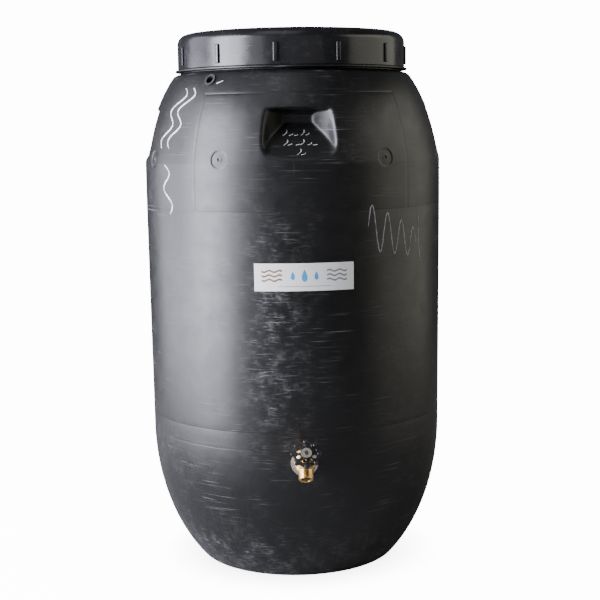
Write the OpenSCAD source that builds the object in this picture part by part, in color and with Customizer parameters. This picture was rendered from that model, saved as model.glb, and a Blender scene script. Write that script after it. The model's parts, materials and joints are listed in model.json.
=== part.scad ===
// Rain barrel: a reused open-top plastic drum with a screw lid, a screened inlet and a hose spigot.
// Millimetres. +Z is up, the origin is the centre of the base, and the spigot faces -Y.

/* [Barrel] */
// Largest outer radius, at the upper seam
barrel_r = 290; // [280:1:300]
// Outer radius where the curved foot meets the side
side_r = 286.5; // [282:0.5:288]
// Height where the curved foot ends
foot_h = 275; // [260:1:290]
// Height of the upper seam
seam_h = 706; // [690:1:720]
// Height where the side starts to close into the shoulder
shoulder_h = 791; // [780:1:795]
// Wall thickness of the moulded body
wall = 4; // [3:0.5:5]
// Outer radius of the threaded neck
neck_r = 208; // [206:0.5:209]
// Inner radius of the neck, which is the mouth
mouth_r = 203; // [200:0.5:204]
// Height of the neck's top edge
neck_top = 1022; // [1020:0.5:1023]

/* [Hand recesses] */
// Number of hand recesses around the shoulder
recess_count = 4; // [2:1:4]
// Width of a recess at the top of its opening
recess_w = 128; // [110:1:130]
// Height of the lower lip
recess_bottom = 798; // [790:1:805]
// Height of the ceiling
recess_top = 887; // [880:1:892]
// Distance of the back edge from the barrel's axis
recess_back = 226; // [222:1:235]

/* [Lid] */
// Outer radius of the skirt
lid_r = 222; // [221:0.5:224]
// Height of the skirt's lower edge
lid_bottom = 968; // [967:0.5:972]
// Height of the lid's top
lid_top = 1036; // [1035:0.5:1040]
// Number of grip ribs on the skirt
grip_count = 12; // [6:1:18]
// Lead of the lid's thread
lid_lead = 14; // [13:0.5:16]
// Radius of the rain inlet in the lid
inlet_r = 50; // [45:1:51]
// Number of screws in the screen's retaining ring
screen_screw_count = 6; // [4:1:8]

/* [Label] */
// Width of the label along the barrel's curve
label_w = 182; // [150:1:200]
// Height of the label
label_h = 50; // [40:1:60]
// Height of the label's centre
label_z = 590; // [560:1:620]
// Direction of the label's centre, from the front towards +X
label_azimuth = 1; // [-5:1:5]

/* [Overflow] */
// Direction of the overflow hole, from the front towards +X
overflow_azimuth = -41; // [-44:1:-30]
// Radius of the overflow grommet's bore
overflow_r = 7.5; // [5:0.5:8]

/* [Spigot] */
// Height of the spigot's inlet
spigot_z = 250; // [240:1:260]
// Radius of the shank that passes through the wall
shank_r = 13.35; // [12:0.05:13.5]
// Radius of the large washer outside
washer_r = 25; // [23:0.5:26]
// Distance from the barrel's axis to the centre of the valve
valve_q = 318; // [317:1:322]
// Angle of the stem above the horizontal
stem_angle = 40; // [38:1:44]
// Radius of the garden-hose thread on the outlet
hose_r = 13.45; // [13:0.05:13.5]
// Number of lobes on the handwheel
lobe_count = 8; // [6:1:10]
// Travel of the stem from shut to open
stem_travel = 7.5; // [5:0.5:8]

/* [Hidden] */
$fn = 96;

// Ellipses of the foot and the shoulder: [centre radius, centre height] and [radial, vertical] semi-axes
foot_c = [68.5, foot_h];
foot_s = [side_r - foot_c[0], 330];
foot_end = -54;
shoulder_c = [157.2, 700];
shoulder_s = [139.4, 300];
shoulder_start = asin((shoulder_h - shoulder_c[1]) / shoulder_s[1]);
shoulder_top_h = 952;
shoulder_end = asin((shoulder_top_h - shoulder_c[1]) / shoulder_s[1]);

// The stop ring under the lid, the neck's inner wall and the base.
// The neck's wall opens out a little above its straight part.
ring_r = 227;
ring_z = 964;
ring_t = 3.4;
neck_start = ring_z - 4;
neck_straight = 1010;
neck_draft = 0.4;
base_t = 4.5;

// Hand recess: the height of its back wall, how far its back and its lower corners lie in from its sides,
// and how far its sides flare in and out
recess_back_h = 24;
recess_side_in = 38;
recess_low_in = 9;
recess_flare_in = 5;
recess_flare_out = 34;

// Round marks left by the mould
mark_r = 16.5;
mark_z = 800;
mark_depth = 1.2;
mark_azimuths = [-67.5, -30, 33, 70.5];

// Thread on the neck and in the lid. The lid's ridge runs down from its height, just under the neck's ridge.
ridge_turns = 1.5;
ridge_step = 10;
ridge_root = 5;
ridge_tip = 3;
neck_ridge_r = 213.5;
neck_ridge_z = 986;
lid_wall = 4;
lid_ridge_r = 210.5;
ridge_spacing = 4.6;
lid_ridge_z = neck_ridge_z - ridge_spacing + 2 * lid_lead;

// Lid: corner radius, rim, recessed panel and the plug ring that enters the mouth
lid_corner = 20;
lid_rim_r = 190;
panel_top = lid_top - 7;
panel_t = 4;
lid_under = panel_top - panel_t;
plug_r = 199;
plug_depth = 12;
rib_t = 3;
rib_h = 7;
grip_w = 8;
grip_out = 3.5;
grip_z = 974;
grip_h = 35;
grip_start = -10;

// Inlet screen, its retaining ring and screws
screen_t = 0.8;
screen_r = inlet_r + 13;
screen_open_r = inlet_r - 4;
screen_pitch = 8;
screen_bar = 1.6;
screen_screw_r = 1.6;
screen_screw_at = inlet_r + 7.5;
screen_ring_t = 3;

// Overflow hole: where it crosses the shoulder, and the direction square to the surface there
overflow_z = 943;
overflow_t = asin((overflow_z - shoulder_c[1]) / shoulder_s[1]);
overflow_q = shoulder_c[0] + shoulder_s[0] * cos(overflow_t);
overflow_tilt = atan2(sin(overflow_t) / shoulder_s[1], cos(overflow_t) / shoulder_s[0]);
overflow_hole_r = 9.5;
overflow_draft = 0.1;
overflow_lip_r = 12;
overflow_lip_t = 2.2;

// Stack of washers on the spigot's shank, as distances from the barrel's axis
outer_q = side_r + 1.3;
washer_t = 1.6;
seal_r = 22;
hole_r = 13.6;
bush_r = 13.4;
inner_q = 278.4;
lock_nut_t = 8;
shank_end_q = 266;
collar_q = outer_q + washer_t;

// Valve, measured along the stem from the centre of its globe
globe_r = 18;
seat_s = -2;
seat_hole_r = 5.5;
chamber_r = 9.5;
bonnet_s = 17;
bonnet_collar_r = 14;
outlet_s = 5;
outlet_len = 29;
hose_len = 13;
disc_r = 8.2;
disc_s = seat_s + 3.1;
disc_t = 3.4;
thread_r = 6;
thread_end = 17;
stem_r = 4;
run_gap = 0.06;
gland_s = 29;
gland_end = 33.5;
gland_r = 6.6;
nut_end = 37.5;
wheel_s = 48;
wheel_t = 7;
wheel_r = 24;
lobe_r = 4;
square_w = 5.4;
plate_t = 0.8;

function arc_points(c, s, a0, a1, n) =
    [for (i = [0:n]) let (a = a0 + (a1 - a0) * i / n) [c[0] + s[0] * cos(a), c[1] + s[1] * sin(a)]];

// Radius of the tapered side at height z
function side_at(z) = side_r + (barrel_r - side_r) * (z - foot_h) / (seam_h - foot_h);

// Rounding between the flat base and the foot's ellipse: both are square to foot_n where they meet
foot_edge = [foot_c[0] + foot_s[0] * cos(foot_end), foot_c[1] + foot_s[1] * sin(foot_end)];
foot_n_raw = [foot_s[1] * cos(foot_end), foot_s[0] * sin(foot_end)];
foot_n = foot_n_raw / norm(foot_n_raw);
corner_r = foot_edge[1] / (1 + foot_n[1]);
corner_c = [foot_edge[0] - corner_r * foot_n[0], corner_r];
corner_a = asin(foot_n[1]);

// Rounding at the top of the shoulder
crown_r = 18;
crown_edge = arc_points(shoulder_c, shoulder_s, shoulder_end, shoulder_end, 1)[0];
crown_a = atan2(sin(shoulder_end) / shoulder_s[1], cos(shoulder_end) / shoulder_s[0]);
crown_c = [crown_edge[0] - crown_r * cos(crown_a), crown_edge[1] - crown_r * sin(crown_a)];

// Outline of the body's outside, or of its inside when inset by the wall
function body_outline(inset) = concat(
    arc_points(corner_c, [corner_r - inset, corner_r - inset], -90, corner_a, 5),
    arc_points(foot_c, foot_s - [inset, inset], foot_end + 4, 0, 11),
    [[barrel_r - inset, seam_h]],
    arc_points(shoulder_c, shoulder_s - [inset, inset], shoulder_start, shoulder_end - 3, 9),
    arc_points(crown_c, [crown_r - inset, crown_r - inset], crown_a, 80, 4)
);

module outer_solid() {
    rotate_extrude($fn = 256)
        polygon(concat(
            [[0, 0]],
            body_outline(0),
            [[neck_r + 3, ring_z - 2.5], [neck_r + 3, ring_z], [ring_r, ring_z], [ring_r, ring_z + ring_t],
             [neck_r, ring_z + ring_t], [neck_r, neck_top - 2], [neck_r - 2, neck_top], [0, neck_top]]
        ));
}

module inner_solid() {
    rotate_extrude($fn = 256)
        polygon(concat(
            [[0, base_t]],
            body_outline(wall),
            [[mouth_r, neck_start], [mouth_r, neck_straight],
             [mouth_r + neck_draft, neck_top + 1], [0, neck_top + 1]]
        ));
}

// The points of one side of an outline, for its other side: mirrored in X and in the opposite order
function mirrored(points) = [for (i = [len(points) - 1:-1:0]) [-points[i][0], points[i][1]]];

// A wedge-shaped hollow for the fingers, deepest under its ceiling. grow adds the wall around it.
module recess(grow) {
    top = recess_top + grow;
    back = recess_back - grow;
    low = recess_bottom - grow * 1.3;
    half = recess_w / 2 + grow;
    back_half = half - recess_side_in;
    flare_half = half - recess_flare_in;
    low_half = half - recess_low_in;
    out = barrel_r + 15;
    side = [[half, top - 20], [half - 3, low + 14], [low_half, low - 2]];
    plan_side = [[flare_half, -back - recess_flare_out], [half, -barrel_r + 12], [half, -out]];
    intersection() {
        rotate([90, 0, -90])
            linear_extrude(height = 2 * half, center = true)
                polygon([[back, top - 10], [back + 10, top], [out, top + 7], [out, low - 2], [barrel_r, low],
                         [back, recess_top - recess_back_h]]);
        linear_extrude(height = lid_bottom)
            polygon(concat([[-back_half, -back], [back_half, -back]], plan_side, mirrored(plan_side)));
        rotate([90, 0, 0])
            linear_extrude(height = out)
                polygon(concat([[-half, top + 7], [half, top + 7]], side, mirrored(side)));
    }
}

module recesses(grow) {
    for (i = [0:recess_count - 1])
        rotate([0, 0, i * 360 / recess_count])
            recess(grow);
}

// One point ring of a helical ridge: root_r is inside the wall that carries it
function ridge_ring(a, z, root_r, tip_r) = [
    [root_r * cos(a), root_r * sin(a), z - ridge_root / 2],
    [tip_r * cos(a), tip_r * sin(a), z - ridge_tip / 2],
    [tip_r * cos(a), tip_r * sin(a), z + ridge_tip / 2],
    [root_r * cos(a), root_r * sin(a), z + ridge_root / 2]
];

// A right-hand helical ridge that starts at height z. turned is 1 for a ridge outside and -1 for one inside.
module ridge(z, root_r, tip_r, turned) {
    n = ridge_turns * 360 / ridge_step;
    points = [for (i = [0:n])
        each ridge_ring(turned * i * ridge_step, z + turned * lid_lead * i * ridge_step / 360,
                        root_r, tip_r)];
    sides = [for (i = [0:n - 1]) for (k = [0:3])
        [4 * i + k, 4 * i + (k + 1) % 4, 4 * i + 4 + (k + 1) % 4, 4 * i + 4 + k]];
    far_end = [4 * n, 4 * n + 1, 4 * n + 2, 4 * n + 3];
    polyhedron(points = points, faces = concat([[3, 2, 1, 0]], sides, [far_end]));
}

module on_overflow() {
    rotate([0, 0, overflow_azimuth])
        translate([0, -overflow_q, overflow_z])
            rotate([90 - overflow_tilt, 0, 0])
                children();
}

module on_shank(q) {
    translate([0, -q, spigot_z])
        rotate([90, 0, 0])
            children();
}

module on_stem(s) {
    translate([0, -valve_q, spigot_z + 1])
        rotate([90 - stem_angle, 0, 0])
            translate([0, 0, s])
                children();
}

module on_outlet() {
    on_stem(outlet_s)
        rotate([90, 0, 0])
            children();
}

module hex(across_flats, h) {
    cylinder(r = across_flats / 2 / cos(30), h = h, $fn = 6);
}

module ring(outer, inner, h) {
    difference() {
        cylinder(r = outer, h = h);
        translate([0, 0, -1])
            cylinder(r = inner, h = h + 2);
    }
}

module barrel_body() {
    color("#26272a")
        union() {
            difference() {
                outer_solid();
                recesses(0);
                difference() {
                    inner_solid();
                    recesses(wall);
                }
                for (side = [0, 180], a = mark_azimuths)
                    rotate([0, 0, side + a])
                        translate([0, -barrel_r + mark_depth, mark_z])
                            rotate([90, 0, 0])
                                cylinder(r = mark_r, h = 10);
                on_shank(shank_end_q)
                    cylinder(r = hole_r, h = 40);
                on_overflow()
                    translate([0, 0, -15])
                        cylinder(r1 = overflow_hole_r + overflow_draft, r2 = overflow_hole_r, h = 30);
            }
            ridge(neck_ridge_z, neck_r - 2.5, neck_ridge_r, 1);
        }
}

// A rubber ring that grips the edge of the hole with a lip on each side of the wall
module overflow_grommet() {
    color("#141414")
        difference() {
            union() {
                difference() {
                    on_overflow()
                        translate([0, 0, -3])
                            cylinder(r = overflow_lip_r, h = overflow_lip_t + 3);
                    outer_solid();
                }
                on_overflow()
                    translate([0, 0, -wall - 2])
                        cylinder(r = overflow_hole_r - 0.1, h = wall + 4);
                intersection() {
                    on_overflow()
                        translate([0, 0, -wall - overflow_lip_t])
                            cylinder(r = overflow_lip_r - 1, h = overflow_lip_t + 3);
                    inner_solid();
                }
            }
            on_overflow()
                translate([0, 0, -15])
                    cylinder(r = overflow_r, h = 30);
        }
}

module label() {
    turn = label_w / side_at(label_z) * 180 / PI;
    low = label_z - label_h / 2;
    high = label_z + label_h / 2;
    color("#f2f2ee")
        rotate([0, 0, label_azimuth - 90 - turn / 2])
            rotate_extrude(angle = turn)
                polygon([[side_at(low) + 0.03, low], [side_at(low) + 0.4, low],
                         [side_at(high) + 0.4, high], [side_at(high) + 0.03, high]]);
}

module lid() {
    color("#1a1a1b")
        union() {
            difference() {
                union() {
                    rotate_extrude()
                        polygon(concat(
                            [[inlet_r, lid_under], [lid_r - lid_wall, lid_under],
                             [lid_r - lid_wall, lid_bottom + 1], [lid_r - lid_wall + 1, lid_bottom],
                             [lid_r - 1, lid_bottom], [lid_r, lid_bottom + 1]],
                            arc_points([lid_r - lid_corner, lid_top - lid_corner], [lid_corner, lid_corner],
                                       0, 90, 10),
                            [[lid_rim_r + 4, lid_top], [lid_rim_r, lid_top - 2], [lid_rim_r - 5, panel_top],
                             [inlet_r, panel_top]]
                        ));
                    for (i = [0:grip_count - 1])
                        rotate([0, 0, grip_start + i * 360 / grip_count])
                            translate([-grip_w / 2, -lid_r - grip_out, grip_z])
                                cube([grip_w, grip_out + 2, grip_h]);
                    translate([0, 0, lid_under - plug_depth])
                        ring(plug_r, plug_r - 3, plug_depth + 1);
                    for (i = [0:7])
                        rotate([0, 0, 22.5 + 45 * i])
                            translate([inlet_r + 16, -rib_t / 2, lid_under - rib_h])
                                cube([plug_r - inlet_r - 17.5, rib_t, rib_h + 1]);
                }
                translate([0, 0, lid_under])
                    screen_holes();
            }
            ridge(lid_ridge_z, lid_r - 2, lid_ridge_r, -1);
        }
}

module lid_gasket() {
    color("#3c3c3c")
        translate([0, 0, neck_top + 0.1])
            ring(lid_r - lid_wall - 1, plug_r + 1, lid_under - neck_top - 0.2);
}

// Coarse bars stand for the woven mesh, inside a solid rim
module inlet_screen() {
    count = floor(screen_open_r / screen_pitch);
    color("#8c8f92")
        translate([0, 0, panel_top])
            difference() {
                union() {
                    ring(screen_r, screen_open_r - 1, screen_t);
                    for (i = [-count:count], turn = [0, 90])
                        let (half = sqrt(pow(screen_open_r, 2) - pow(i * screen_pitch, 2)))
                            rotate([0, 0, turn])
                                translate([-half, i * screen_pitch - screen_bar / 2, 0])
                                    cube([2 * half, screen_bar, screen_t]);
                }
                screen_holes();
            }
}

module screen_holes() {
    for (i = [0:screen_screw_count - 1])
        rotate([0, 0, i * 360 / screen_screw_count])
            translate([screen_screw_at, 0, -1])
                cylinder(r = screen_screw_r + 0.05, h = 10);
}

module screen_ring() {
    color("#1a1a1b")
        translate([0, 0, panel_top + screen_t])
            difference() {
                ring(screen_r, screen_open_r, screen_ring_t);
                screen_holes();
            }
}

module screen_screws() {
    head_z = panel_top + screen_t + screen_ring_t;
    color("#b9bcc0")
        for (i = [0:screen_screw_count - 1])
            rotate([0, 0, i * 360 / screen_screw_count])
                translate([screen_screw_at, 0, 0])
                    difference() {
                        union() {
                            translate([0, 0, lid_under - 3])
                                cylinder(r = screen_screw_r, h = head_z - lid_under + 3.5);
                            translate([0, 0, head_z])
                                cylinder(r = 3.6, h = 1.9);
                        }
                        for (turn = [0, 90])
                            rotate([0, 0, turn])
                                translate([-2, -0.4, head_z + 0.9])
                                    cube([4, 0.8, 2]);
                    }
}

module outer_washer() {
    color("#c9ccd0")
        on_shank(outer_q)
            ring(washer_r, bush_r, washer_t);
}

module outer_seal() {
    color("#1c1c1c")
        difference() {
            on_shank(side_r - 6)
                ring(seal_r, bush_r, outer_q - side_r + 6);
            outer_solid();
        }
}

module inner_seal() {
    color("#1c1c1c")
        intersection() {
            on_shank(inner_q)
                ring(seal_r, bush_r, 10);
            inner_solid();
        }
}

module inner_washer() {
    color("#c9ccd0")
        on_shank(inner_q - washer_t)
            ring(seal_r, bush_r, washer_t);
}

module lock_nut() {
    color("#b8893b")
        on_shank(inner_q - washer_t - lock_nut_t)
            difference() {
                hex(38, lock_nut_t);
                translate([0, 0, -1])
                    cylinder(r = bush_r, h = lock_nut_t + 2);
            }
}

// The casting: shank, collar, globe, the collar for the bonnet and the outlet nose
module spigot_body() {
    color("#b8893b")
        difference() {
            union() {
                on_shank(shank_end_q)
                    cylinder(r = shank_r, h = collar_q - shank_end_q);
                on_shank(collar_q)
                    hex(31, 6.5);
                on_shank(collar_q + 3)
                    cylinder(r = 12, h = valve_q - collar_q - 3);
                on_stem(0)
                    sphere(r = globe_r);
                on_stem(0)
                    cylinder(r = bonnet_collar_r, h = bonnet_s);
                on_outlet()
                    cylinder(r = 12.2, h = outlet_len - hose_len + 1);
                on_outlet()
                    translate([0, 0, outlet_len - hose_len])
                        cylinder(r = hose_r, h = hose_len);
            }
            on_shank(shank_end_q - 1)
                cylinder(r = 6.5, h = valve_q - 11 - shank_end_q + 1);
            on_stem(-14)
                cylinder(r = seat_hole_r, h = 14);
            on_stem(seat_s)
                cylinder(r = chamber_r, h = 30);
            on_outlet()
                cylinder(r = 6.9, h = outlet_len + 1);
            on_outlet()
                translate([0, 0, outlet_len - 10])
                    cylinder(r = 8.2, h = 11);
        }
}

module spigot_bonnet() {
    color("#b8893b")
        on_stem(0)
            difference() {
                union() {
                    translate([0, 0, bonnet_s - 3.5])
                        cylinder(r = chamber_r - 0.1, h = 4);
                    translate([0, 0, bonnet_s + 0.05])
                        hex(25, 6);
                    translate([0, 0, bonnet_s + 1])
                        cylinder(r = 8, h = gland_end - bonnet_s - 1);
                }
                translate([0, 0, bonnet_s - 4])
                    cylinder(r = thread_r + run_gap, h = thread_end + stem_travel + 1.5 - bonnet_s + 4);
                translate([0, 0, bonnet_s])
                    cylinder(r = stem_r + run_gap, h = 20);
                translate([0, 0, gland_s])
                    cylinder(r = gland_r, h = 20);
            }
}

module stem_packing() {
    color("#5a5148")
        on_stem(gland_s)
            ring(gland_r - 0.05, stem_r + run_gap, gland_end - gland_s);
}

module packing_nut() {
    color("#b8893b")
        on_stem(0)
            difference() {
                translate([0, 0, gland_s - 2])
                    hex(19, nut_end - gland_s + 2);
                translate([0, 0, gland_s - 3])
                    cylinder(r = 8.05, h = gland_end - gland_s + 3.1);
                translate([0, 0, gland_s])
                    cylinder(r = stem_r + 0.1, h = 20);
            }
}

module spigot_stem() {
    color("#c2964a")
        on_stem(0)
            difference() {
                union() {
                    translate([0, 0, disc_s])
                        cylinder(r = disc_r, h = disc_t);
                    translate([0, 0, disc_s + 1])
                        cylinder(r = thread_r, h = thread_end - disc_s - 1);
                    translate([0, 0, disc_s + 1])
                        cylinder(r = stem_r, h = wheel_s - disc_s - 1);
                    translate([-square_w / 2, -square_w / 2, wheel_s - 1])
                        cube([square_w, square_w, wheel_t + 1]);
                }
                translate([0, 0, disc_s - 1])
                    cylinder(r = 1.6, h = 9);
                translate([0, 0, wheel_s + wheel_t - 10])
                    cylinder(r = 1.6, h = 11);
            }
}

module seat_washer() {
    color("#1c1c1c")
        on_stem(seat_s)
            ring(disc_r - 0.2, 1.75, disc_s - seat_s - 0.05);
}

module seat_washer_screw() {
    color("#c2964a")
        on_stem(0)
            union() {
                translate([0, 0, seat_s - 2.05])
                    cylinder(r = 4, h = 2);
                translate([0, 0, seat_s - 1])
                    cylinder(r = 1.55, h = 9);
            }
}

module handwheel() {
    color("#17171a")
        on_stem(wheel_s)
            difference() {
                union() {
                    cylinder(r = wheel_r, h = wheel_t - 1);
                    cylinder(r = 9, h = wheel_t);
                    for (i = [0:lobe_count - 1])
                        rotate([0, 0, i * 360 / lobe_count])
                            translate([wheel_r, 0, 0])
                                cylinder(r = lobe_r, h = wheel_t);
                }
                for (i = [0:lobe_count - 1])
                    rotate([0, 0, (i + 0.5) * 360 / lobe_count])
                        translate([14.8, 0, -1])
                            cylinder(r = 4.2, h = wheel_t + 2);
                translate([-square_w / 2 - 0.05, -square_w / 2 - 0.05, -1])
                    cube([square_w + 0.1, square_w + 0.1, wheel_t + 2]);
            }
}

module handwheel_plate() {
    color("#d4d4d2")
        on_stem(wheel_s + wheel_t)
            ring(9.5, 1.75, plate_t);
}

module handwheel_screw() {
    head_s = wheel_s + wheel_t + plate_t;
    color("#c9ccd0")
        on_stem(0)
            difference() {
                union() {
                    translate([0, 0, head_s])
                        cylinder(r = 3.6, h = 2.4);
                    translate([0, 0, head_s - 9])
                        cylinder(r = 1.55, h = 10);
                }
                translate([-4, -0.5, head_s + 1.3])
                    cube([8, 1, 2]);
            }
}

barrel_body();
overflow_grommet();
label();
lid();
lid_gasket();
inlet_screen();
screen_ring();
screen_screws();
outer_washer();
outer_seal();
inner_seal();
inner_washer();
lock_nut();
spigot_body();
spigot_bonnet();
stem_packing();
packing_nut();
spigot_stem();
seat_washer();
seat_washer_screw();
handwheel();
handwheel_plate();
handwheel_screw();
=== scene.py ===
"""Rain barrel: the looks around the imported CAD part. Metres, in its own frame, with the spigot facing -Y."""
import json
import math

import bmesh
import bpy
import numpy as np
from mathutils import Euler, Matrix, Vector


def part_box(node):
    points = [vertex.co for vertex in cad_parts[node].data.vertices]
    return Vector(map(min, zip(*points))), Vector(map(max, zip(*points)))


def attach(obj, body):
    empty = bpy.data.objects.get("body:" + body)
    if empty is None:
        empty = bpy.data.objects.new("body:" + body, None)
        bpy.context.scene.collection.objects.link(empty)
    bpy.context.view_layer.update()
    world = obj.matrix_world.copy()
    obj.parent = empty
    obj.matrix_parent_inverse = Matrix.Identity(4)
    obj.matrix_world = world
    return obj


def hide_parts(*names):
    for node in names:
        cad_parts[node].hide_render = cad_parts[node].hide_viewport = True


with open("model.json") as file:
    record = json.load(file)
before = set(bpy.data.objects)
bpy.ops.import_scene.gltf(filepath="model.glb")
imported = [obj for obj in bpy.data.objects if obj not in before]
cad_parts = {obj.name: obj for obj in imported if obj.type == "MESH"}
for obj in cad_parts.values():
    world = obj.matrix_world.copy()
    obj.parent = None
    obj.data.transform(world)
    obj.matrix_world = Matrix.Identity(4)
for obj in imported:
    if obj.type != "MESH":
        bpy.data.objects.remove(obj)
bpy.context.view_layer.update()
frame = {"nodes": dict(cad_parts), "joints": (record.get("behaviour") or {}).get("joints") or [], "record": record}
NODES = frame["nodes"]
MOUNTS = {m["name"]: m for m in frame["record"]["mounts"]}
JOINTS = {j["name"]: j for j in frame["joints"]}
MM = 0.001
TURN = 2 * math.pi

# Body of the barrel: the part's driving sizes. An ellipse has its centre in _C and its half sizes in _S, as
# radius and height, and _END is the direction in degrees or the height where it stops
BARREL_R = round(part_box("barrel_body")[1].y, 3)
NECK_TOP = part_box("barrel_body")[1].z
WALL = 0.004
SEAM_Z = 0.706
LOW_SEAMS_Z = (0.270, 0.303)
PANEL_Z = 0.917
PANEL_AZIMUTH = 42.5
MOULD_TURN = 1.5
SIDE_R = 0.2865
FOOT_C, FOOT_S, FOOT_END = (0.0685, 0.275), (0.218, 0.330), -54
SHOULDER_C, SHOULDER_S = (0.1572, 0.700), (0.1394, 0.300)
SHOULDER_Z = 0.791
SHOULDER_END, CROWN_R = 0.952, 0.018
INSIDE_FLOOR_Z = 0.0045
NECK_R = 0.208
MOUTH_R = 0.203
RING_R, RING_Z, RING_T = 0.227, 0.9640, 0.0034
SPIGOT_HOLE_R, OVERFLOW_HOLE_R = 0.0145, 0.0098

# Radii of the mesh's rings in the middle of the base
BASE_RINGS = (0.012, 0.06, 0.12)

# Hand recesses: four, each deepest under its ceiling
RECESS_HALF = 0.064
RECESS_BACK = 0.226
RECESS_BOTTOM, RECESS_LOW_BACK, RECESS_HIGH_BACK, RECESS_TOP = 0.797, 0.863, 0.877, 0.887

# Heights between which the body's mesh is finer, for the recesses and the round marks
FINE_LOW, FINE_HIGH = 0.780, 0.905

# Round mould marks, with their directions on the front half, and width of the seams' grooves
MARK_Z, MARK_R = 0.800, 0.0165
MARK_AZIMUTHS = (-67.5, -30, 33, 70.5)
GROOVE_W = 0.0009

# Lid
LID_R = 0.222
LID_BOTTOM, LID_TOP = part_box("lid")[0].z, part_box("lid")[1].z
LID_CORNER = 0.020
LID_WALL = 0.004
PANEL_TOP = LID_TOP - 0.007
PANEL_R, PANEL_GROOVE_R = 0.1845, 0.1462
LID_UNDER = PANEL_TOP - 0.004
PLUG_R, PLUG_DEPTH = 0.1990, 0.012
INLET_R = 0.050
GRIPS = 12
GRIP_SIZE, GRIP_EDGE, GRIP_Z = (0.0080, 0.0060, 0.035), 0.0016, 0.9915
RIBS = 8
RIB_W, RIB_H = 0.003, 0.008

# Thread ridges of the neck and the lid
THREAD_LEAD, THREAD_TURNS = 0.014, 1.5
THREAD_ROOT_W, THREAD_TIP_W = 0.0045, 0.0025
NECK_THREAD_R, NECK_THREAD_Z = 0.2130, 0.986
LID_THREAD_R, LID_THREAD_Z = 0.2110, 0.9884

# Inlet screen: woven wire inside a flat rim, under a clamping ring
MESH_R, MESH_PITCH, WIRE = 0.0475, 0.0021, 0.00038
SCREEN_R = 0.0630
RIM_INNER_R, CLAMP_INNER_R = 0.0452, 0.0460

# Spigot
VALVE = Vector(JOINTS["handle_turn"]["pos_m"])
STEM_AXIS = Vector(JOINTS["handle_turn"]["axis"]).normalized()
HOSE = MOUNTS["hose_outlet"]
HOSE_AXIS = Vector(HOSE["axis"]).normalized()
HOSE_R = HOSE["dims"]["r_mm"] * MM
HOSE_LEN = HOSE["dims"]["length_mm"] * MM
HOSE_BORE_R, HOSE_PITCH = 0.0078, 0.00221
HOSE_START = Vector(HOSE["pos_m"]) - HOSE_AXIS * HOSE_LEN / 2
OVERFLOW = MOUNTS["overflow_bore"]
SPIGOT_Z = 0.250

# Radius that the casting's nose is drawn in to, under the hose thread
NOSE_R = 0.0105

# How far the edges of a marker stroke reach below its top
STROKE_DEPTH = 0.0009

# Direction of the label's centre in degrees from the front, and its ink's distance above the body
LABEL_AZIMUTH = 1.0
LABEL_LIFT = 0.00047

# Brightness of the white surround, half size of the floor and radius where the shadow painted round the barrel's
# foot starts to fade
WHITE = 14.0
FLOOR_HALF = 9
FLOOR_PAINTED_SHADOW_R = 0.15


# ---------------------------------------------------------------- small mesh tools

def smoothstep(x, low, high):
    """Rises smoothly from 0 at low to 1 at high."""
    t = np.clip((x - low) / (high - low), 0, 1)
    return t * t * (3 - 2 * t)


def arc(centre, radii, start, end, steps):
    """Points of an elliptical arc in the plane of radius and height, angles in degrees."""
    angles = np.radians(np.linspace(start, end, steps + 1))
    return [(centre[0] + radii[0] * math.cos(a), centre[1] + radii[1] * math.sin(a)) for a in angles]


def make_object(name, verts, faces, sharp_angle=40):
    """A new object in the scene from vertices and faces."""
    mesh = bpy.data.meshes.new(name)
    mesh.from_pydata([tuple(v) for v in verts], [], faces)
    mesh.validate()
    finish_mesh(mesh, sharp_angle)
    obj = bpy.data.objects.new(name, mesh)
    bpy.context.scene.collection.objects.link(obj)
    return obj


def finish_mesh(mesh, sharp_angle):
    """Outward normals, smooth shading, and sharp edges where faces meet at more than the angle."""
    bm = bmesh.new()
    bm.from_mesh(mesh)
    bmesh.ops.recalc_face_normals(bm, faces=bm.faces)
    bm.to_mesh(mesh)
    bm.free()
    mesh.shade_smooth()
    mesh.set_sharp_from_angle(angle=math.radians(sharp_angle))


def ring_faces(rings, sides, closed=False):
    """Faces between neighbouring rings of vertices, and from the last ring to the first if closed."""
    faces = []
    for i in range(rings if closed else rings - 1):
        low, high = i * sides, (i + 1) % rings * sides
        for k in range(sides):
            n = (k + 1) % sides
            faces.append((low + k, low + n, high + n, high + k))
    return faces


def end_caps(rings, sides):
    """Faces that close the first and the last ring of vertices."""
    last = (rings - 1) * sides
    return [tuple(range(sides)), tuple(last + k for k in reversed(range(sides)))]


def lathe(outline, segments):
    """Vertices and faces of a closed outline of (radius, height) points turned about Z."""
    angles = np.linspace(0, TURN, segments, endpoint=False)
    verts = [(r * math.sin(a), -r * math.cos(a), z) for r, z in outline for a in angles]
    return verts, ring_faces(len(outline), segments, closed=True)


def rounded(outline, radius, steps=4):
    """A closed outline with each corner rounded by up to the radius."""
    out = []
    count = len(outline)
    for i in range(count):
        a, b, c = (Vector(outline[(i + k) % count]) for k in (-1, 0, 1))
        cut = min(radius, (a - b).length * 0.45, (c - b).length * 0.45)
        start, end = b + (a - b).normalized() * cut, b + (c - b).normalized() * cut
        for k in range(steps + 1):
            t = k / steps
            out.append(tuple(start.lerp(b, t).lerp(b.lerp(end, t), t)))
    return out


def ridge(root_r, tip_r, root_w, tip_w, lead, turns, start_z, step=5):
    """Vertices and faces of a right-hand helical ridge about Z whose ends taper into the wall."""
    count = int(turns * 360 / step)
    verts = []
    for i in range(count + 1):
        angle = math.radians(i * step)
        z = start_z + lead * i * step / 360
        fade = min(1, min(i, count - i) * step / 20)
        tip = root_r + (tip_r - root_r) * fade
        ring = ((root_r, -root_w / 2), (tip, -tip_w / 2), (tip, tip_w / 2), (root_r, root_w / 2))
        verts += [(r * math.cos(angle), r * math.sin(angle), z + dz) for r, dz in ring]
    return verts, ring_faces(count + 1, 4) + end_caps(count + 1, 4)


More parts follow.
